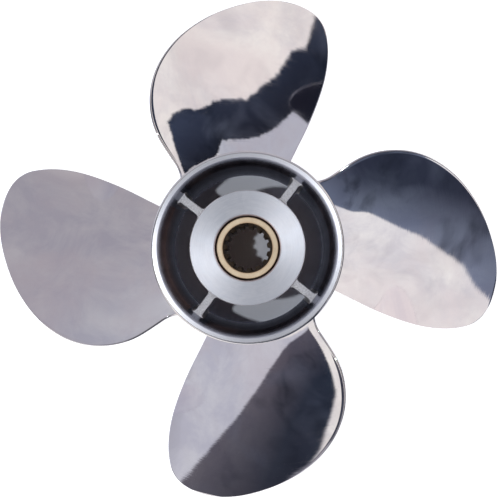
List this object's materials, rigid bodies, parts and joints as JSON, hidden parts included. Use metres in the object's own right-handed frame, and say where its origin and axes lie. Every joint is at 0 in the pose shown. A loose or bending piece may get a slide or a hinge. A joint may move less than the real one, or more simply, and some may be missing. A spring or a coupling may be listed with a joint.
{
  "type": "ship propeller",
  "caption": "Right-hand through-hub-exhaust boat propeller of polished stainless steel, with a ribbed hub, a rubber bush and a splined brass sleeve.",
  "frame": {"origin": "centre of the front rim of the hub barrel, on the propeller's axis; the propeller stands on that rim", "axes": "+Z along the propeller's axis, pointing aft, away from the engine; +Y towards blade_1 and +X towards blade_4"},
  "size_m": [0.3504, 0.3504, 0.127],
  "materials": {
    "polished_stainless": "polished",
    "barrel_stainless": "gloss",
    "turned_stainless": "satin",
    "as_cast_stainless": "matte",
    "brass": "satin",
    "rubber": "matte"
  },
  "bodies": {
    "root": {"outer_hub": "barrel_stainless", "blade_1": "polished_stainless", "blade_2": "polished_stainless", "blade_3": "polished_stainless", "blade_4": "polished_stainless", "hub_rib_1": "as_cast_stainless", "hub_rib_2": "as_cast_stainless", "hub_rib_3": "as_cast_stainless", "hub_rib_4": "as_cast_stainless", "inner_hub": "turned_stainless", "rubber_bush": "rubber", "splined_sleeve": "brass"}
  },
  "joints": []
}
